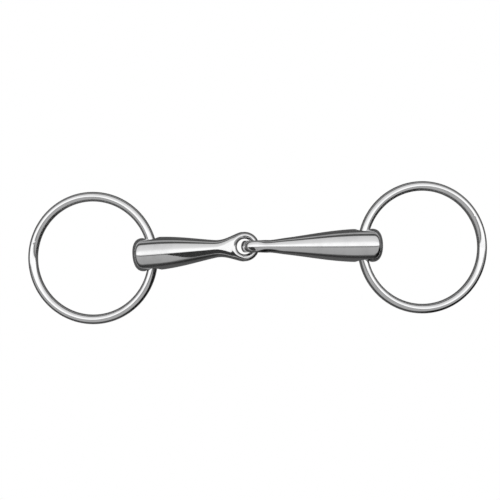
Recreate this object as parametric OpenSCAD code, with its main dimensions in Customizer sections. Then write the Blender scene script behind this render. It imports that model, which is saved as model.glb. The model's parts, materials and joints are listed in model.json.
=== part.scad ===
// Loose-ring snaffle bit with a single joint in the mouthpiece.
//
// Two tapered mouthpiece halves (cannons) hook into each other through their end
// eyes, and a round wire ring runs loosely through a cross hole in the outer end
// of each cannon. The bit is laid out flat: the thick ends of the cannons and the
// far sides of the rings rest on the plane Z = 0. X runs along the mouthpiece,
// through the centres of both rings, and the origin lies midway between them.

/* [Rings] */
// Inside diameter of each ring
ring_inner_d = 70; // [58:1:90]
// Diameter of the ring wire
ring_wire_d = 6; // [5:0.1:7.5]
// Distance that the left ring has slid along its hole
left_slip = 0.4; // [-1.5:0.1:1.5]
// Distance that the right ring has slid along its hole
right_slip = 1.5; // [-1.5:0.1:1.5]

/* [Ring welds] */
// Length of the dressed weld around the wire
weld_len = 3.2; // [2:0.1:6]
// Height that the dressed weld stands proud of the wire
weld_proud = 0.12; // [0.1:0.01:0.2]
// Gap kept between the weld band and the wire
weld_gap = 0.03; // [0.02:0.01:0.05]
// Place of the left weld around its ring, from the ring hole
left_weld_angle = 161; // [60:1:300]
// Place of the right weld around its ring, from the ring hole
right_weld_angle = 210; // [60:1:300]

/* [Cannons] */
// Length of the left cannon from its ring hole to its eye
left_len = 57; // [50:0.5:80]
// Length of the right cannon from its ring hole to its eye
right_len = 66; // [50:0.5:80]
// Diameter of a cannon at its ring hole
cannon_d = 20.5; // [17:0.1:25]
// Diameter that a cannon tapers to at its eye
tip_d = 7.8; // [6:0.1:8]
// How late the taper comes: a larger power makes a slimmer middle
taper_power = 1.9; // [1.4:0.1:2.4]
// Length of the cannon outside its ring hole
butt_len = 11.9; // [10:0.1:14]
// Length of the rounded end cap, part of the length outside the hole
cap_len = 6.6; // [4:0.1:8]
// Squareness of the cap: 2 is an ellipse, more is flatter with tighter corners
cap_power = 2.5; // [2:0.1:4]

/* [Ring holes] */
// Running room that the hole leaves all round the wire, beyond the wire's own bow
ring_clear = 0.85; // [0.7:0.05:1.2]
// Rounding radius at both mouths of the hole
mouth_r = 2; // [1:0.1:2.5]

/* [Joint eyes] */
// Play at each side of the other eye's bar, where it lies across the eye's hole
eye_clear = 1.15; // [1:0.05:2.2]
// Width of the eye's bar, measured outwards from the hole
bar_w = 4.3; // [3.5:0.1:5.3]
// Thickness of the eye's bar, measured along the hole
bar_t = 7.2; // [5.5:0.05:8.5]
// Distance from the eye's centre at which it has run out into the taper
shoulder_len = 15.5; // [13:0.5:18]

/* [Lie] */
// Bend of the mouthpiece at the joint as it lies
bend = 4; // [0:0.5:20]

/* [Hidden] */

$fn = 96;
hull_fn = 32;
cap_steps = 12;
taper_steps = 22;
overcut = 5;

wire_r = ring_wire_d / 2;
ring_r = ring_inner_d / 2 + wire_r;
cannon_r = cannon_d / 2;
tip_r = tip_d / 2;
eye_hole_r = bar_t / 2 + eye_clear;
bar_r = bar_w / 2;
eye_r = eye_hole_r + bar_r;
steel = "silver";
bright_steel = "gainsboro";

// The wire bends inside its straight hole, so the ring swings about a line a
// little nearer its centre than the wire's own centre line: half of the wire's
// bow over the straight part of the hole.
hole_half = cannon_r - mouth_r;
swing_back = hole_half * hole_half / (4 * ring_r);
swing_r = ring_r - swing_back;
hole_r = wire_r + swing_back + ring_clear;

// Each ring hangs down from its hole until its far side rests on Z = 0.
droop = asin((cannon_r - wire_r) / (swing_r + ring_r));

// Lie of the two cannons before the whole bit is squared up to X. The fold axis
// is the centre of the left eye, where the bar of the right eye runs through.
left_dir = bend;
left_hole_raw = [-left_len * cos(left_dir), -left_len * sin(left_dir)];
right_hole_raw = [eye_r + right_len, 0];
left_centre_raw = left_hole_raw + spin([-swing_r * cos(droop), left_slip], left_dir);
right_centre_raw = right_hole_raw + [swing_r * cos(droop), -right_slip];
across = right_centre_raw - left_centre_raw;
square_up = -atan2(across[1], across[0]);
middle = spin((left_centre_raw + right_centre_raw) / 2, square_up);

fold_axis = -middle;
left_hole = spin(left_hole_raw, square_up) - middle;
right_hole = spin(right_hole_raw, square_up) - middle;

echo(fold_axis = fold_axis, left_hole = left_hole, right_hole = right_hole);
echo(square_up = square_up, droop = droop, swing_r = swing_r, ring_r = ring_r);

function spin(p, a) = [p[0] * cos(a) - p[1] * sin(a), p[0] * sin(a) + p[1] * cos(a)];

// Radius of a cannon at the share f of the way from its ring hole to its eye.
function taper(f) = tip_r + (cannon_r - tip_r) * pow(cos(90 * f), taper_power);

// Outline of a cannon, turned about its axis: the rounded cap, then the taper.
function cap_points() = [
    for (i = [0:cap_steps])
        let (a = 90 * i / cap_steps, power = 2 / cap_power)
        [cannon_r * pow(sin(a), power), -(butt_len - cap_len) - cap_len * pow(cos(a), power)]
];
function taper_points(len, end) = [
    for (i = [0:taper_steps])
        let (s = end * i / taper_steps)
        [taper(s / len), s]
];

// Places a cannon or ring drawn with its ring hole at the origin, along Y, and
// its eye towards +X.
module at_left() {
    translate([left_hole[0], left_hole[1], cannon_r])
        rotate([0, 0, left_dir + square_up])
            children();
}
module at_right() {
    translate([right_hole[0], right_hole[1], cannon_r])
        rotate([0, 0, 180 + square_up])
            children();
}

// Cross-section of the eye's bar: flat sides with fully rounded edges.
module bar_section() {
    flat = bar_t - bar_w;
    translate([eye_r, flat / 2])
        circle(r = bar_r);
    translate([eye_r, -flat / 2])
        circle(r = bar_r);
    translate([eye_r - bar_r, -flat / 2])
        square([bar_w, flat]);
}

module eye_ring() {
    rotate_extrude()
        bar_section();
}

// Everything inside the eye's rounded inner wall.
module eye_opening(height) {
    rotate_extrude()
        difference() {
            translate([0, -height / 2])
                square([eye_r, height]);
            bar_section();
        }
}

// The flat of the eye runs out into the round of the taper.
module eye_shoulder(len) {
    flat = bar_t - bar_w;
    neck_r = taper(1 - shoulder_len / len);
    hull() {
        for (z = [-flat / 2, flat / 2])
            translate([0, 0, z])
                rotate_extrude($fn = hull_fn)
                    translate([eye_r, 0])
                        circle(r = bar_r * 0.98, $fn = hull_fn);
        translate([-shoulder_len, 0, 0])
            rotate([0, 90, 0])
                cylinder(r = neck_r, h = 0.5, center = true, $fn = hull_fn);
    }
}

// Straight hole along Y whose two mouths open out in a rounding.
module ring_hole() {
    reach = cannon_r + overcut;
    rotate([90, 0, 0])
        rotate_extrude() {
            translate([0, -reach])
                square([hole_r, 2 * reach]);
            for (side = [-1, 1])
                scale_y(side)
                    difference() {
                        translate([0, hole_half])
                            square([hole_r + mouth_r, overcut + mouth_r]);
                        translate([hole_r + mouth_r, hole_half])
                            circle(r = mouth_r);
                    }
        }
}

module scale_y(side) {
    mirror([0, side < 0 ? 1 : 0])
        children();
}

// One mouthpiece half. eye_turn turns the eye about the cannon's axis.
module cannon(len, eye_turn) {
    body_end = len - shoulder_len + 1;
    difference() {
        union() {
            rotate([0, 90, 0])
                rotate_extrude()
                    polygon(concat(
                        cap_points(),
                        taper_points(len, body_end),
                        [[0, body_end]]
                    ));
            translate([len, 0, 0])
                rotate([eye_turn, 0, 0]) {
                    eye_ring();
                    eye_shoulder(len);
                }
        }
        ring_hole();
        translate([len, 0, 0])
            rotate([eye_turn, 0, 0])
                eye_opening(4 * bar_t);
    }
}

// Sets the wire of a ring, drawn flat round the origin, into its hole.
module in_hole(slip) {
    rotate([0, -droop, 0])
        translate([-swing_r, slip, 0])
            children();
}

module wire_ring() {
    rotate_extrude()
        translate([ring_r, 0])
            circle(r = wire_r);
}

// Thin band round the wire where its two ends are joined.
module weld(angle) {
    sweep = weld_len / ring_r * 180 / PI;
    inner_r = wire_r + weld_gap;
    rotate([0, 0, angle - sweep / 2])
        rotate_extrude(angle = sweep)
            translate([ring_r, 0])
                difference() {
                    circle(r = wire_r + weld_proud);
                    circle(r = inner_r);
                }
}

module cannon_left() {
    color(steel)
        at_left()
            cannon(left_len, 0);
}

module cannon_right() {
    color(steel)
        at_right()
            cannon(right_len, 90);
}

module ring_left() {
    color(bright_steel)
        at_left()
            in_hole(left_slip)
                wire_ring();
}

module ring_right() {
    color(bright_steel)
        at_right()
            in_hole(right_slip)
                wire_ring();
}

module weld_left() {
    color(steel)
        at_left()
            in_hole(left_slip)
                weld(left_weld_angle);
}

module weld_right() {
    color(steel)
        at_right()
            in_hole(right_slip)
                weld(right_weld_angle);
}

cannon_left();
cannon_right();
ring_left();
ring_right();
weld_left();
weld_right();
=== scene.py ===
"""Looks of a loose-ring snaffle bit: polished cannons, bright wire rings and their dressed welds."""

import json
import logging
import math
from collections.abc import Callable
from dataclasses import dataclass
from enum import Enum

import bpy
import numpy as np
from mathutils import Matrix, Vector

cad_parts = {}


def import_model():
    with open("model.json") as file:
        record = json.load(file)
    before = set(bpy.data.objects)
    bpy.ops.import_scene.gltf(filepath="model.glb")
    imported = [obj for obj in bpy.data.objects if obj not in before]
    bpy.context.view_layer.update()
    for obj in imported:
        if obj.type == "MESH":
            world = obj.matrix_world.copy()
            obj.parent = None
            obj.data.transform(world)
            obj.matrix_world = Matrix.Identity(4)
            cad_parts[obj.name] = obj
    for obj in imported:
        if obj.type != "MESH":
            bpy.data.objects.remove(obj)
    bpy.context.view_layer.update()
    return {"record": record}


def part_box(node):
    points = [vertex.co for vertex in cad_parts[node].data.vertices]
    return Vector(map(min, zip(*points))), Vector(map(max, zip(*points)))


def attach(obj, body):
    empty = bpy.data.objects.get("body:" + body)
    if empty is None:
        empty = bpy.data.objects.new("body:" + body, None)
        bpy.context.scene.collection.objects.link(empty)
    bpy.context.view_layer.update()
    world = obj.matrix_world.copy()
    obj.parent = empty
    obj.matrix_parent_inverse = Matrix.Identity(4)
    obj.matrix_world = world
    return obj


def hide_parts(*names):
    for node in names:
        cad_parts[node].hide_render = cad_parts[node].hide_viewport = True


logging.basicConfig(level=logging.INFO, format="%(message)s")
log = logging.getLogger("snaffle_bit")

MM = 0.001


class Side(Enum):
    """Which half of the bit a piece belongs to, seen from above."""

    LEFT = "left"
    RIGHT = "right"


class EyeLie(Enum):
    """How an end eye stands when the bit lies flat: with its hole upright, or lying across the cannon."""

    FLAT = "flat"
    UPRIGHT = "upright"


# --------------------------------------------------------------------------
# Shader node helpers and shared groups
# --------------------------------------------------------------------------


def add_node(tree: bpy.types.NodeTree, kind: str, **settings) -> bpy.types.Node:
    """Adds a node to a tree.

    Args:
        tree: The node tree.
        kind: The node's type name.
        **settings: Properties to set on the node.

    Returns:
        The new node.
    """
    node = tree.nodes.new(kind)
    for name, value in settings.items():
        setattr(node, name, value)
    return node


def math_node(tree: bpy.types.NodeTree, operation: str, *values) -> bpy.types.NodeSocket:
    """Adds a Math node.

    Args:
        tree: The node tree.
        operation: Blender's name of the operation.
        *values: Its inputs in order, each a number or an output socket.

    Returns:
        The node's output.
    """
    node = add_node(tree, "ShaderNodeMath", operation=operation)
    for place, value in enumerate(values):
        if isinstance(value, (int, float)):
            node.inputs[place].default_value = value
        else:
            tree.links.new(value, node.inputs[place])
    return node.outputs[0]


def new_group(
    name: str, inputs: dict[str, tuple[str, float]], outputs: dict[str, str]
) -> bpy.types.NodeTree:
    """Makes an empty shader node group.

    Args:
        name: The group's name.
        inputs: Socket type and default value of each input, by name.
        outputs: Socket type of each output, by name.

    Returns:
        The group, holding its Group Input and Group Output nodes.
    """
    group = bpy.data.node_groups.new(name, "ShaderNodeTree")
    for label, (kind, default) in inputs.items():
        socket = group.interface.new_socket(label, in_out="INPUT", socket_type=kind)
        if kind == "NodeSocketFloat":
            socket.default_value = default
    for label, kind in outputs.items():
        group.interface.new_socket(label, in_out="OUTPUT", socket_type=kind)
    group.nodes.new("NodeGroupInput")
    group.nodes.new("NodeGroupOutput")
    return group


def group_ends(group: bpy.types.NodeTree) -> tuple[bpy.types.Node, bpy.types.Node]:
    """Finds the two ends of a node group.

    Args:
        group: The group.

    Returns:
        Its Group Input and Group Output nodes.
    """
    return group.nodes["Group Input"], group.nodes["Group Output"]


def polish_marks_group() -> bpy.types.NodeTree:
    """Builds the group for the fine marks of the polishing wheel.

    Returns:
        A group that puts out a height for the marks and a mask of dull smears.
    """
    group = new_group(
        "polish_marks",
        {
            "Vector": ("NodeSocketVector", 0.0),
            "Along": ("NodeSocketFloat", 400.0),
            "Across": ("NodeSocketFloat", 6000.0),
            "Smear Size": ("NodeSocketFloat", 90.0),
        },
        {"Height": "NodeSocketFloat", "Smear": "NodeSocketFloat"},
    )
    ends_in, ends_out = group_ends(group)
    stretch = add_node(group, "ShaderNodeCombineXYZ")
    group.links.new(ends_in.outputs["Across"], stretch.inputs[0])
    group.links.new(ends_in.outputs["Along"], stretch.inputs[1])
    group.links.new(ends_in.outputs["Along"], stretch.inputs[2])
    scaled = add_node(group, "ShaderNodeVectorMath", operation="MULTIPLY")
    group.links.new(ends_in.outputs["Vector"], scaled.inputs[0])
    group.links.new(stretch.outputs[0], scaled.inputs[1])
    lines = add_node(group, "ShaderNodeTexNoise")
    lines.inputs["Scale"].default_value = 1.0
    lines.inputs["Detail"].default_value = 3.0
    group.links.new(scaled.outputs[0], lines.inputs["Vector"])
    group.links.new(lines.outputs["Fac"], ends_out.inputs["Height"])
    smear = add_node(group, "ShaderNodeTexNoise")
    smear.inputs["Detail"].default_value = 4.0
    smear.inputs["Roughness"].default_value = 0.6
    group.links.new(ends_in.outputs["Vector"], smear.inputs["Vector"])
    group.links.new(ends_in.outputs["Smear Size"], smear.inputs["Scale"])
    shaped = add_node(group, "ShaderNodeMapRange", interpolation_type="SMOOTHSTEP")
    shaped.inputs["From Min"].default_value = 0.42
    shaped.inputs["From Max"].default_value = 0.72
    group.links.new(smear.outputs["Fac"], shaped.inputs["Value"])
    group.links.new(shaped.outputs["Result"], ends_out.inputs["Smear"])
    return group


def scratches_group() -> bpy.types.NodeTree:
    """Builds the group for hairline scratches from handling.

    Returns:
        A group that puts out a mask, 1 in a scratch and 0 elsewhere.
    """
    group = new_group(
        "hair_scratches",
        {
            "Vector": ("NodeSocketVector", 0.0),
            "Scale": ("NodeSocketFloat", 160.0),
            "Amount": ("NodeSocketFloat", 0.5),
        },
        {"Mask": "NodeSocketFloat"},
    )
    ends_in, ends_out = group_ends(group)
    masks = []
    for turn in (0.4, 1.7, 2.6):
        turned = add_node(group, "ShaderNodeMapping")
        turned.inputs["Rotation"].default_value = (turn, turn * 0.7, turn * 1.3)
        turned.inputs["Scale"].default_value = (1.0, 0.05, 1.0)
        group.links.new(ends_in.outputs["Vector"], turned.inputs["Vector"])
        cells = add_node(group, "ShaderNodeTexVoronoi", feature="DISTANCE_TO_EDGE")
        group.links.new(turned.outputs[0], cells.inputs["Vector"])
        group.links.new(ends_in.outputs["Scale"], cells.inputs["Scale"])
        line = add_node(group, "ShaderNodeMapRange")
        line.inputs["From Min"].default_value = 0.0
        line.inputs["From Max"].default_value = 0.012
        line.inputs["To Min"].default_value = 1.0
        line.inputs["To Max"].default_value = 0.0
        group.links.new(cells.outputs["Distance"], line.inputs["Value"])
        masks.append(line.outputs["Result"])
    most = math_node(group, "MAXIMUM", math_node(group, "MAXIMUM", masks[0], masks[1]), masks[2])
    group.links.new(math_node(group, "MULTIPLY", most, ends_in.outputs["Amount"]), ends_out.inputs["Mask"])
    return group


# --------------------------------------------------------------------------
# Finishes
# --------------------------------------------------------------------------


@dataclass(frozen=True)
class PolishedSteel:
    """Mirror-polished stainless steel.

    Attributes:
        name: The material's name.
        tint: Colour of the clean metal.
        dull: Colour where the polish is smeared or worn.
        gloss: Roughness of the clean polish.
        smear_gloss: Roughness added in the smears.
        mark_depth: Depth of the polishing marks, in metres.
        marks_along: Frequency of the marks along their own direction.
        marks_across: Frequency of the marks across their own direction.
        scratch: Strength of the hairline scratches.
    """

    name: str
    tint: tuple[float, float, float]
    dull: tuple[float, float, float]
    gloss: float
    smear_gloss: float
    mark_depth: float
    marks_along: float
    marks_across: float
    scratch: float

    def build(self) -> bpy.types.Material:
        """Builds the material.

        Returns:
            The material, reading Object coordinates.
        """
        material = bpy.data.materials.new(self.name)
        material.use_nodes = True
        tree = material.node_tree
        shader = tree.nodes["Principled BSDF"]
        shader.inputs["Metallic"].default_value = 1.0
        place = add_node(tree, "ShaderNodeTexCoord").outputs["Object"]
        marks = add_node(tree, "ShaderNodeGroup", node_tree=bpy.data.node_groups["polish_marks"])
        marks.inputs["Along"].default_value = self.marks_along
        marks.inputs["Across"].default_value = self.marks_across
        scratches = add_node(tree, "ShaderNodeGroup", node_tree=bpy.data.node_groups["hair_scratches"])
        scratches.inputs["Amount"].default_value = self.scratch
        for group in (marks, scratches):
            tree.links.new(place, group.inputs["Vector"])
        colour = add_node(tree, "ShaderNodeMix", data_type="RGBA")
        colour.inputs["A"].default_value = (*self.tint, 1.0)
        colour.inputs["B"].default_value = (*self.dull, 1.0)
        tree.links.new(marks.outputs["Smear"], colour.inputs["Factor"])
        tree.links.new(colour.outputs["Result"], shader.inputs["Base Color"])
        smeared = math_node(tree, "MULTIPLY_ADD", marks.outputs["Smear"], self.smear_gloss, self.gloss)
        rough = math_node(tree, "MULTIPLY_ADD", scratches.outputs["Mask"], 0.12, smeared)
        tree.links.new(rough, shader.inputs["Roughness"])
        bump = add_node(tree, "ShaderNodeBump")
        bump.inputs["Strength"].default_value = 1.0
        bump.inputs["Distance"].default_value = self.mark_depth
        cut = math_node(tree, "SUBTRACT", marks.outputs["Height"], scratches.outputs["Mask"])
        tree.links.new(cut, bump.inputs["Height"])
        tree.links.new(bump.outputs["Normal"], shader.inputs["Normal"])
        return material


CANNON_STEEL = PolishedSteel(
    name="cannon_steel", tint=(0.80, 0.80, 0.805), dull=(0.72, 0.72, 0.725), gloss=0.07,
    smear_gloss=0.05, mark_depth=0.8e-6, marks_along=300.0, marks_across=5200.0, scratch=0.5,
)
RING_STEEL = PolishedSteel(
    name="ring_steel", tint=(0.84, 0.84, 0.845), dull=(0.76, 0.76, 0.765), gloss=0.06,
    smear_gloss=0.04, mark_depth=0.5e-6, marks_along=900.0, marks_across=3200.0, scratch=0.6,
)
WELD_STEEL = PolishedSteel(
    name="weld_steel", tint=(0.82, 0.82, 0.825), dull=(0.72, 0.72, 0.73), gloss=0.09,
    smear_gloss=0.08, mark_depth=1.0e-6, marks_along=1200.0, marks_across=4200.0, scratch=0.8,
)


# --------------------------------------------------------------------------
# Meshes from implicit surfaces
# --------------------------------------------------------------------------

Field = Callable[[np.ndarray, np.ndarray, np.ndarray], np.ndarray]

# How the net's vertices are moved onto the surface: the number of Newton steps, the offset
# that the slope is measured over and the longest move, both as shares of a cell, and the
# least slope and move that are divided by.
NEWTON_STEPS = 6
NUDGE_SHARE = 0.05
MOVE_SHARE = 0.5
LEAST_SLOPE = 1e-6
LEAST_MOVE = 1e-9


def smooth_union(a: np.ndarray, b: np.ndarray, blend: float) -> np.ndarray:
    """Joins two distance fields with a fillet.

    Args:
        a: Distances to the first solid, negative inside.
        b: Distances to the second solid.
        blend: Size of the fillet.

    Returns:
        Distances to the joined solid.
    """
    mix = np.maximum(blend - np.abs(a - b), 0.0) / blend
    return np.minimum(a, b) - mix**3 * blend / 6.0


def smooth_cut(a: np.ndarray, b: np.ndarray, blend: float) -> np.ndarray:
    """Cuts solid b out of solid a and rounds the edge.

    Args:
        a: Distances to the solid that is cut.
        b: Distances to the solid that is taken away.
        blend: Size of the rounding.

    Returns:
        Distances to what is left.
    """
    return -smooth_union(-a, b, blend)


def surface_net(
    field: Field, low: np.ndarray, high: np.ndarray, step: float
) -> tuple[np.ndarray, np.ndarray]:
    """Meshes the zero surface of a distance field.

    Each grid cell that the surface passes through gets one vertex, and each grid
    edge that it crosses gets one quad. The vertices are then moved onto the
    surface itself by Newton steps.

    Args:
        field: Function from x, y, z arrays to distances, negative inside.
        low: Lowest corner of the grid.
        high: Highest corner of the grid.
        step: Size of a grid cell.

    Returns:
        The vertices, and the quads with their normals outwards.
    """
    axes = [np.arange(a, b + step, step) for a, b in zip(low, high)]
    x, y, z = np.meshgrid(*axes, indexing="ij")
    values = field(x, y, z)
    inside = values < 0.0
    cells = np.zeros(tuple(n - 1 for n in values.shape), dtype=int)
    for i in (0, 1):
        for j in (0, 1):
            for k in (0, 1):
                cells += inside[i : i + cells.shape[0], j : j + cells.shape[1], k : k + cells.shape[2]]
    crossed = (cells > 0) & (cells < 8)
    number = np.full(cells.shape, -1)
    number[crossed] = np.arange(crossed.sum())
    corner = np.argwhere(crossed)
    points = np.stack([axes[d][corner[:, d]] + step / 2.0 for d in range(3)], axis=1)
    quads = []
    for d in range(3):
        first, second = np.delete(np.arange(3), d)
        if d == 1:
            first, second = second, first
        here = np.take(inside, range(values.shape[d] - 1), axis=d)
        there = np.take(inside, range(1, values.shape[d]), axis=d)
        for mask, flip in ((here & ~there, False), (~here & there, True)):
            edge = np.argwhere(mask)
            ring = []
            for off in ((0, 0), (-1, 0), (-1, -1), (0, -1)):
                cell = edge.copy()
                cell[:, first] += off[0]
                cell[:, second] += off[1]
                ring.append(number[cell[:, 0], cell[:, 1], cell[:, 2]])
            quad = np.stack(ring, axis=1)
            quads.append(quad[:, ::-1] if flip else quad)
    faces = np.concatenate(quads)
    nudge = step * NUDGE_SHARE
    for _ in range(NEWTON_STEPS):
        distance = field(*points.T)
        rises = [field(*(points + off).T) - field(*(points - off).T) for off in nudge * np.eye(3)]
        slope = np.stack(rises, axis=1) / (2.0 * nudge)
        move = distance[:, None] * slope / np.maximum((slope**2).sum(axis=1), LEAST_SLOPE)[:, None]
        length = np.linalg.norm(move, axis=1)
        move *= np.minimum(1.0, MOVE_SHARE * step / np.maximum(length, LEAST_MOVE))[:, None]
        points = points - move
    return points, faces


def add_object(name: str, data: bpy.types.ID) -> bpy.types.Object:
    """Makes an object and links it to the scene.

    Args:
        name: The object's name.
        data: Its mesh or camera.

    Returns:
        The new object.
    """
    made = bpy.data.objects.new(name, data)
    bpy.context.scene.collection.objects.link(made)
    return made


def mesh_object(name: str, points: np.ndarray, faces: np.ndarray) -> bpy.types.Object:
    """Makes a smooth-shaded mesh object at the origin.

    Args:
        name: The object's name.
        points: Its vertices, in metres.
        faces: Its faces.

    Returns:
        The new object, linked to the scene.
    """
    mesh = bpy.data.meshes.new(name)
    mesh.from_pydata(points.tolist(), [], faces.tolist())
    mesh.validate()
    mesh.shade_smooth()
    return add_object(name, mesh)


def outward(mesh: bpy.types.Mesh) -> None:
    """Turns a closed mesh's faces outwards if its volume comes out negative.

    Args:
        mesh: The mesh.
    """
    mesh.calc_loop_triangles()
    points = np.array([v.co for v in mesh.vertices])
    corners = points[np.array([t.vertices for t in mesh.loop_triangles])]
    volume = np.einsum("ij,ij->i", corners[:, 0], np.cross(corners[:, 1], corners[:, 2])).sum()
    if volume < 0.0:
        mesh.flip_normals()


def finish_piece(piece: bpy.types.Object, body: str, node: str) -> None:
    """Lets a piece ride on its body in place of its CAD node, and logs it.

    Args:
        piece: The piece.
        body: The body that it moves with.
        node: The CAD node that it stands for.
    """
    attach(piece, body)
    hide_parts(node)
    log.info("%s rides on %s: %d faces", piece.name, body, len(piece.data.polygons))


# --------------------------------------------------------------------------
# The bit's own pieces
# --------------------------------------------------------------------------


@dataclass
class Hinge:
    """A joint's place and direction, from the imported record.

    Attributes:
        place: A point on its axis, in metres.
        axis: The axis, a unit vector.
    """

    place: Vector
    axis: Vector

    @classmethod
    def of(cls, joints: list[dict], name: str) -> "Hinge":
        """Finds a joint by its name.

        Args:
            joints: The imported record's joints.
            name: The joint's name.

        Returns:
            Its place and direction.
        """
        joint = next(j for j in joints if j["name"] == name)
        return cls(Vector(joint["pos_m"]), Vector(joint["axis"]).normalized())


@dataclass
class Cannon:
    """One half of the mouthpiece.

    Attributes:
        side: Which half it is.
        eye_lie: How its eye stands.
        hole: Hinge at its ring hole.
        eye: Centre of its eye, in metres.
        material: Its finish.
        butt_r: Radius at the ring hole.
        tip_r: Radius that the taper runs down to at the eye.
        taper_power: How late the taper comes.
        butt_len: Length outside the ring hole.
        cap_len: Length of the rounded end cap.
        cap_power: Squareness of the cap, 2 for an ellipse.
        ring_hole_r: Radius of the ring hole.
        mouth_round: Rounding of the hole's mouths.
        eye_round: Rounding where the bar runs down into the eye's hole.
        eye_lip: How far the bar reaches over the inner half of the eye's wire.
        eye_hole_r: Radius of the hole in the eye.
        bar_w: Width of the eye's bar.
        bar_t: Thickness of the eye's bar along its hole.
        shoulder_len: Length over which the eye runs out into the taper.
        thick_share: Half of the flare's thickness at the eye, as a share of the bar's.
        flare_share: How far the flare reaches past the eye's hole, as a share of the bar's width.
        stop_share: How far short of the eye's centre the flare stops, as a share of the bar's width.
        blend: Size of the fillet between the bar and the eye.
        step: Size of the mesh's cells.
    """

    side: Side
    eye_lie: EyeLie
    hole: Hinge
    eye: Vector
    material: bpy.types.Material
    butt_r: float = 10.25 * MM
    tip_r: float = 3.9 * MM
    taper_power: float = 1.9
    butt_len: float = 11.9 * MM
    cap_len: float = 6.6 * MM
    cap_power: float = 2.5
    ring_hole_r: float = 4.3 * MM
    mouth_round: float = 1.6 * MM
    eye_round: float = 2.2 * MM
    eye_lip: float = 1.1 * MM
    eye_hole_r: float = 4.75 * MM
    bar_w: float = 4.3 * MM
    bar_t: float = 7.2 * MM
    shoulder_len: float = 18.5 * MM
    thick_share: float = 0.485
    flare_share: float = 0.96
    stop_share: float = 0.35
    blend: float = 1.3 * MM
    step: float = 0.40 * MM

    def length(self) -> float:
        """Returns the distance from the ring hole to the eye's centre."""
        return (self.eye - self.hole.place).length

    def radius(self, along: np.ndarray) -> np.ndarray:
        """Gives the cannon's radius.

        Args:
            along: Distances from the ring hole towards the eye.

        Returns:
            The radius at each distance.
        """
        share = np.clip(along / self.length(), 0.0, 1.0)
        return self.tip_r + (self.butt_r - self.tip_r) * np.cos(share * math.pi / 2.0) ** self.taper_power

    def bar_field(self, x: np.ndarray, across: np.ndarray, along_hole: np.ndarray) -> np.ndarray:
        """Distances to the tapered bar with its cap and its flattened run into the eye.

        Args:
            x: Distances from the ring hole towards the eye.
            across: Distances from the axis, across the eye's hole.
            along_hole: Distances from the axis, along the eye's hole.

        Returns:
            The distances, negative inside the metal.
        """
        cap_start = self.cap_len - self.butt_len
        reach = np.minimum(x - cap_start, 0.0) / self.cap_len
        out = np.hypot(across, along_hole)
        squared = np.abs(reach) ** self.cap_power + (out / self.butt_r) ** self.cap_power
        cap = (squared ** (1.0 / self.cap_power) - 1.0) * self.cap_len
        share = np.clip((self.length() - x) / self.shoulder_len, 0.0, 1.0)
        ease = (1.0 - np.cos(share * math.pi)) / 2.0
        thick = self.bar_t * self.thick_share * (1.0 - ease) + self.radius(x) * ease
        wide = (self.eye_hole_r + self.bar_w * self.flare_share) * (1.0 - ease) + self.radius(x) * ease
        flat = np.maximum(wide - thick, 0.0)
        side = np.hypot(np.maximum(np.abs(across) - flat, 0.0), along_hole) - thick
        side = np.maximum(side, x - self.length() + self.bar_w * self.stop_share)
        return np.where(x < cap_start, cap, side)

    def field(self, x: np.ndarray, y: np.ndarray, z: np.ndarray) -> np.ndarray:
        """Distances to the whole cannon in its own axes, its ring hole at the origin along Y.

        Args:
            x: Distances from the ring hole towards the eye.
            y: Distances from the axis, level with the ground.
            z: Heights above the axis.

        Returns:
            The distances, negative inside the metal.
        """
        across, along_hole = (y, z) if self.eye_lie is EyeLie.FLAT else (z, y)
        bar_r = self.bar_w / 2.0
        out = np.hypot(x - self.length(), across) - self.eye_hole_r - bar_r
        eye = np.hypot(out, along_hole * self.bar_w / self.bar_t) - bar_r
        bar = smooth_cut(self.bar_field(x, across, along_hole), out + self.eye_lip, self.eye_round)
        solid = smooth_union(bar, eye, self.blend)
        return smooth_cut(solid, np.hypot(x, z) - self.ring_hole_r, self.mouth_round)

    def build(self) -> bpy.types.Object:
        """Builds the cannon and puts it on its body.

        Returns:
            The piece.
        """
        margin = 1.0 * MM
        low = np.array([-self.butt_len, -self.butt_r, -self.butt_r]) - margin
        end = self.length() + self.eye_hole_r + self.bar_w
        high = np.array([end, self.butt_r, self.butt_r]) + margin
        points, faces = surface_net(self.field, low, high, self.step)
        forward = (self.eye - self.hole.place).normalized()
        upward = Vector((0.0, 0.0, 1.0))
        turn = Matrix((forward, upward.cross(forward), upward)).transposed()
        placed = points @ np.array(turn).T + np.array(self.hole.place)
        piece = mesh_object(f"cannon_{self.side.value}_polished", placed, faces)
        piece.data.materials.append(self.material)
        finish_piece(piece, f"{self.side.value}_cannon", f"cannon_{self.side.value}")
        return piece


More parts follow.
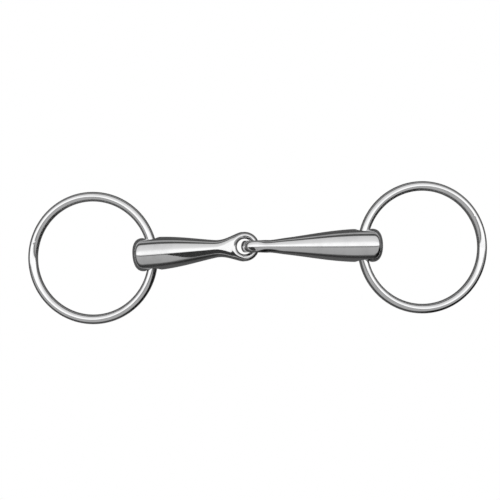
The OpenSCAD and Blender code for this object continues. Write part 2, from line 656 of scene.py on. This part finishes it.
@dataclass
class WireRing:
    """A loose ring: round wire bent into a circle.

    Attributes:
        side: Which cannon it runs through.
        turn: Hinge at its centre, square to its plane.
        material: Its finish.
        ring_r: Radius of the wire's centre line.
        wire_r: Radius of the wire.
        hand_bend: How far the bending leaves the wire off a true circle.
        path_steps: Number of steps round the ring.
        wire_steps: Number of steps round the wire.
    """

    side: Side
    turn: Hinge
    material: bpy.types.Material
    ring_r: float = 38.0 * MM
    wire_r: float = 3.0 * MM
    hand_bend: float = 0.05 * MM
    path_steps: int = 360
    wire_steps: int = 56

    def wire_tree(self) -> bpy.types.NodeTree:
        """Builds the Geometry Nodes tree that sweeps the wire round its circle.

        Returns:
            The tree, with inputs for the sizes and the material.
        """
        tree = bpy.data.node_groups.new(f"wire_ring_{self.side.value}", "GeometryNodeTree")
        tree.interface.new_socket("Geometry", in_out="OUTPUT", socket_type="NodeSocketGeometry")
        for label in ("Ring Radius", "Wire Radius", "Hand Bend"):
            tree.interface.new_socket(label, in_out="INPUT", socket_type="NodeSocketFloat")
        tree.interface.new_socket("Material", in_out="INPUT", socket_type="NodeSocketMaterial")
        ends_in = tree.nodes.new("NodeGroupInput")
        ends_out = tree.nodes.new("NodeGroupOutput")
        path = add_node(tree, "GeometryNodeCurvePrimitiveCircle")
        path.inputs["Resolution"].default_value = self.path_steps
        tree.links.new(ends_in.outputs["Ring Radius"], path.inputs["Radius"])
        wander = add_node(tree, "ShaderNodeTexNoise", noise_dimensions="4D")
        wander.inputs["W"].default_value = 3.0 if self.side is Side.LEFT else 8.0
        wander.inputs["Scale"].default_value = 30.0
        wander.inputs["Detail"].default_value = 1.0
        centred = add_node(tree, "ShaderNodeVectorMath", operation="SUBTRACT")
        centred.inputs[1].default_value = (0.5, 0.5, 0.5)
        tree.links.new(wander.outputs["Color"], centred.inputs[0])
        bend = add_node(tree, "ShaderNodeVectorMath", operation="SCALE")
        tree.links.new(centred.outputs[0], bend.inputs[0])
        tree.links.new(ends_in.outputs["Hand Bend"], bend.inputs["Scale"])
        moved = add_node(tree, "GeometryNodeSetPosition")
        tree.links.new(path.outputs[0], moved.inputs["Geometry"])
        tree.links.new(bend.outputs[0], moved.inputs["Offset"])
        wire = add_node(tree, "GeometryNodeCurvePrimitiveCircle")
        wire.inputs["Resolution"].default_value = self.wire_steps
        tree.links.new(ends_in.outputs["Wire Radius"], wire.inputs["Radius"])
        sweep = add_node(tree, "GeometryNodeCurveToMesh")
        tree.links.new(moved.outputs[0], sweep.inputs["Curve"])
        tree.links.new(wire.outputs[0], sweep.inputs["Profile Curve"])
        smooth = add_node(tree, "GeometryNodeSetShadeSmooth")
        tree.links.new(sweep.outputs[0], smooth.inputs["Geometry"])
        real = add_node(tree, "GeometryNodeRealizeInstances")
        tree.links.new(smooth.outputs[0], real.inputs[0])
        dressed = add_node(tree, "GeometryNodeSetMaterial")
        tree.links.new(real.outputs[0], dressed.inputs["Geometry"])
        tree.links.new(ends_in.outputs["Material"], dressed.inputs["Material"])
        tree.links.new(dressed.outputs[0], ends_out.inputs[0])
        return tree

    def placing(self) -> Matrix:
        """Works out where the ring lies.

        Returns:
            The matrix that lays a ring drawn flat round the origin in its place.
        """
        across = Vector((0.0, 1.0, 0.0))
        normal = self.turn.axis
        first = across.cross(normal).normalized()
        second = normal.cross(first)
        turn = Matrix((first, second, normal)).transposed().to_4x4()
        return Matrix.Translation(self.turn.place) @ turn

    def build(self) -> bpy.types.Object:
        """Builds the ring and puts it on its body.

        Returns:
            The piece.
        """
        tree = self.wire_tree()
        maker = add_object("wire_maker", bpy.data.meshes.new("wire_maker"))
        modifier = maker.modifiers.new("wire", "NODES")
        modifier.node_group = tree
        values = {
            "Ring Radius": self.ring_r, "Wire Radius": self.wire_r,
            "Hand Bend": self.hand_bend, "Material": self.material,
        }
        for socket in tree.interface.items_tree:
            if socket.in_out == "INPUT":
                modifier[socket.identifier] = values[socket.name]
        bpy.context.view_layer.update()
        graph = bpy.context.evaluated_depsgraph_get()
        mesh = bpy.data.meshes.new_from_object(maker.evaluated_get(graph))
        bpy.data.objects.remove(maker)
        mesh.transform(self.placing())
        outward(mesh)
        piece = add_object(f"ring_{self.side.value}_wire", mesh)
        finish_piece(piece, f"{self.side.value}_ring", f"ring_{self.side.value}")
        return piece


# Ripples of a dressed weld: the size of each, its waves round the wire, and its drift along it.
RIPPLES = ((0.25, 3.0, 9.0), (0.15, 7.0, -5.0))


@dataclass
class RingWeld:
    """The dressed butt weld that closes a ring.

    Attributes:
        ring: The ring that it closes.
        place: Middle of the weld, in metres.
        material: Its finish.
        length: Length along the wire.
        proud: Height that its middle stands above the wire.
        sunk: Depth of its edges below the wire's surface.
        ripple_share: Share of its height that the ripples change.
        rows: Number of points along the wire.
        around: Number of points round the wire.
    """

    ring: WireRing
    place: Vector
    material: bpy.types.Material
    length: float = 3.2 * MM
    proud: float = 0.06 * MM
    sunk: float = 0.02 * MM
    ripple_share: float = 0.2
    rows: int = 25
    around: int = 96

    def build(self) -> bpy.types.Object:
        """Builds the weld and puts it on its body.

        Returns:
            The piece.
        """
        to_ring = self.ring.placing().inverted() @ self.place
        middle = math.atan2(to_ring.y, to_ring.x)
        sweep = self.length / self.ring.ring_r
        points = []
        for i in range(self.rows):
            share = i / (self.rows - 1)
            angle = middle + (share - 0.5) * sweep
            lift = math.sin(share * math.pi) ** 2
            for k in range(self.around):
                turn = 2.0 * math.pi * k / self.around
                ripple = sum(size * math.sin(waves * turn + drift * share) for size, waves, drift in RIPPLES)
                evenness = 1.0 - self.ripple_share + self.ripple_share * ripple
                radius = self.ring.wire_r - self.sunk + (self.proud + self.sunk) * lift * evenness
                out = self.ring.ring_r + radius * math.cos(turn)
                points.append((out * math.cos(angle), out * math.sin(angle), radius * math.sin(turn)))
        faces = []
        for row in range(0, (self.rows - 1) * self.around, self.around):
            for k in range(self.around):
                after = (k + 1) % self.around
                faces.append((row + k, row + self.around + k, row + self.around + after, row + after))
        first_end = range(self.around)
        last_end = range((self.rows - 1) * self.around, self.rows * self.around)
        faces.append(tuple(first_end))
        faces.append(tuple(reversed(last_end)))
        mesh = bpy.data.meshes.new("weld")
        mesh.from_pydata(points, [], faces)
        mesh.transform(self.ring.placing())
        mesh.shade_smooth()
        outward(mesh)
        mesh.materials.append(self.material)
        side = self.ring.side.value
        piece = add_object(f"weld_{side}_bead", mesh)
        finish_piece(piece, f"{side}_weld", f"weld_{side}")
        return piece


# --------------------------------------------------------------------------
# Studio
# --------------------------------------------------------------------------

TENT_STRENGTH = 1.6

# Brightness of the tent round the bit's long axis, by the angle from straight up,
# with the far side of the tent at positive angles.
TENT_BANDS = (
    (-180, 0.07), (-103, 0.06), (-97, 0.025), (-79, 0.025), (-75, 0.25), (-14, 0.29),
    (-11, 0.11), (-7, 0.11), (-4, 0.72), (6, 0.80), (18, 0.74), (30, 0.55), (66, 0.44),
    (71, 0.04), (84, 0.05), (90, 0.27), (98, 0.27), (105, 0.05), (180, 0.08),
)
# The same for the two ends of the tent, by the angle from straight up: this caps the
# brightness in every direction.
TENT_ENDS = (
    (-180, 1.0), (64, 1.0), (71, 0.10), (84, 0.07), (90, 0.27), (98, 0.27), (105, 0.06), (180, 0.08),
)
# The black flag hung low over the left cannon and the joint: its outline in metres.
FLAG_OUTLINE = (
    (-0.056, -0.0016), (-0.043, -0.017), (-0.032, -0.040), (-0.024, -0.055), (-0.003, -0.055),
    (-0.003, -0.014), (-0.009, -0.0003),
)
FLAG_HEIGHT = 0.045
# A black card stands low at the near right: how much it hides, by bearing from
# +X and by the angle from straight up.
CARD_BEARINGS = ((-180, 0.0), (-84, 0.0), (-66, 1.0), (-18, 1.0), (-4, 0.0), (180, 0.0))
CARD_SLANTS = ((-180, 0.0), (60, 0.0), (68, 0.95), (112, 0.95), (130, 0.2), (180, 0.0))


def turn_share(tree: bpy.types.NodeTree, angle: bpy.types.NodeSocket) -> bpy.types.NodeSocket:
    """Turns an angle into a share of the full turn.

    Args:
        tree: The node tree.
        angle: The angle, in radians.

    Returns:
        The share, 0 at -180 degrees and 1 at 180.
    """
    return math_node(tree, "MULTIPLY_ADD", angle, 0.5 / math.pi, 0.5)


def band_ramp(
    tree: bpy.types.NodeTree, share: bpy.types.NodeSocket, bands: tuple
) -> bpy.types.NodeSocket:
    """Adds a ramp of grey levels over a full turn of angles.

    Args:
        tree: The node tree.
        share: The angle as a share of the turn, 0 at -180 degrees and 1 at 180.
        bands: Pairs of an angle in degrees and its level.

    Returns:
        The level.
    """
    ramp = add_node(tree, "ShaderNodeValToRGB")
    stops = ramp.color_ramp.elements
    while len(stops) > 1:
        stops.remove(stops[-1])
    for place, (degrees, level) in enumerate(bands):
        where = degrees / 360.0 + 0.5
        stop = stops[0] if place == 0 else stops.new(where)
        stop.position = where
        stop.color = (level, level, level, 1.0)
    tree.links.new(share, ramp.inputs["Fac"])
    return ramp.outputs["Color"]


@dataclass
class Studio:
    """The light tent, its black flag and the camera above the bit.

    Attributes:
        height: Height of the camera, in metres.
        lens: Focal length, in millimetres.
        sensor: Width of the sensor, in millimetres.
        aim: X and Y of the camera.
        roll: Turn of the camera about its own axis.
    """

    height: float = 0.51
    lens: float = 58.5
    sensor: float = 36.0
    aim: tuple[float, float] = (-4.7 * MM, 1.8 * MM)
    roll: float = math.radians(-1.87)

    def add_camera(self) -> None:
        """Adds the camera, looking straight down."""
        data = bpy.data.cameras.new("camera")
        data.lens = self.lens
        data.sensor_width = self.sensor
        data.clip_start = 0.01
        camera = add_object("camera", data)
        camera.location = (*self.aim, self.height)
        camera.rotation_euler = (0.0, 0.0, self.roll)
        bpy.context.scene.camera = camera

    def add_flag(self) -> None:
        """Adds the small black flag that only the polished metal sees."""
        corners = np.array([(x, y, FLAG_HEIGHT) for x, y in FLAG_OUTLINE])
        flag = mesh_object("flag", corners, np.array([range(len(corners))]))
        material = bpy.data.materials.new("flag_black")
        material.use_nodes = True
        shader = material.node_tree.nodes["Principled BSDF"]
        shader.inputs["Base Color"].default_value = (0.04, 0.04, 0.04, 1.0)
        shader.inputs["Roughness"].default_value = 1.0
        shader.inputs["Specular IOR Level"].default_value = 0.0
        flag.data.materials.append(material)
        flag.visible_camera = False
        flag.visible_diffuse = False
        flag.visible_shadow = False

    def add_tent(self) -> None:
        """Lights the bit with a tent: pale above, with a bright panel on one side and dark gaps."""
        world = bpy.data.worlds.new("light_tent")
        world.use_nodes = True
        tree = world.node_tree
        tree.nodes.clear()
        direction = add_node(tree, "ShaderNodeTexCoord").outputs["Generated"]
        parts = add_node(tree, "ShaderNodeSeparateXYZ")
        tree.links.new(direction, parts.inputs[0])
        east, north, up = parts.outputs
        round_bit = turn_share(tree, math_node(tree, "ARCTAN2", north, up))
        bearing = turn_share(tree, math_node(tree, "ARCTAN2", north, east))
        slant = turn_share(tree, math_node(tree, "ARCCOSINE", up))
        near_card = band_ramp(tree, bearing, CARD_BEARINGS)
        card = math_node(tree, "MULTIPLY", near_card, band_ramp(tree, slant, CARD_SLANTS))
        shown = math_node(tree, "SUBTRACT", 1.0, card)
        ends = band_ramp(tree, slant, TENT_ENDS)
        level = math_node(tree, "MINIMUM", band_ramp(tree, round_bit, TENT_BANDS), ends)
        tent = add_node(tree, "ShaderNodeBackground")
        tent.inputs["Strength"].default_value = TENT_STRENGTH
        tree.links.new(math_node(tree, "MULTIPLY", level, shown), tent.inputs["Color"])
        paper = add_node(tree, "ShaderNodeBackground")
        paper.inputs["Color"].default_value = (1.0, 1.0, 1.0, 1.0)
        paper.inputs["Strength"].default_value = 1.0
        rays = add_node(tree, "ShaderNodeLightPath")
        choose = add_node(tree, "ShaderNodeMixShader")
        tree.links.new(rays.outputs["Is Glossy Ray"], choose.inputs["Fac"])
        tree.links.new(paper.outputs[0], choose.inputs[1])
        tree.links.new(tent.outputs[0], choose.inputs[2])
        out = add_node(tree, "ShaderNodeOutputWorld")
        tree.links.new(choose.outputs[0], out.inputs["Surface"])
        bpy.context.scene.world = world

    def build(self) -> None:
        """Builds the whole studio."""
        bpy.context.scene.view_settings.view_transform = "Standard"
        self.add_camera()
        self.add_flag()
        self.add_tent()


def main() -> None:
    """Builds the bit and its studio."""
    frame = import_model()
    polish_marks_group()
    scratches_group()
    cannon_steel, ring_steel, weld_steel = (f.build() for f in (CANNON_STEEL, RING_STEEL, WELD_STEEL))
    joints = frame["record"]["behaviour"]["joints"]
    fold = Hinge.of(joints, "mouth_fold")
    left_hole, right_hole = (Hinge.of(joints, f"{s.value}_ring_swing") for s in Side)
    bar_reach = Cannon.eye_hole_r + Cannon.bar_w / 2.0
    right_eye = fold.place + (right_hole.place - fold.place).normalized() * bar_reach
    Cannon(Side.LEFT, EyeLie.FLAT, left_hole, fold.place, cannon_steel).build()
    Cannon(Side.RIGHT, EyeLie.UPRIGHT, right_hole, right_eye, cannon_steel).build()
    for side in Side:
        ring = WireRing(side, Hinge.of(joints, f"{side.value}_ring_turn"), ring_steel)
        ring.build()
        low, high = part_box(f"weld_{side.value}")
        RingWeld(ring, (Vector(low) + Vector(high)) / 2.0, weld_steel).build()
    Studio().build()


if __name__ == "__main__":
    main()
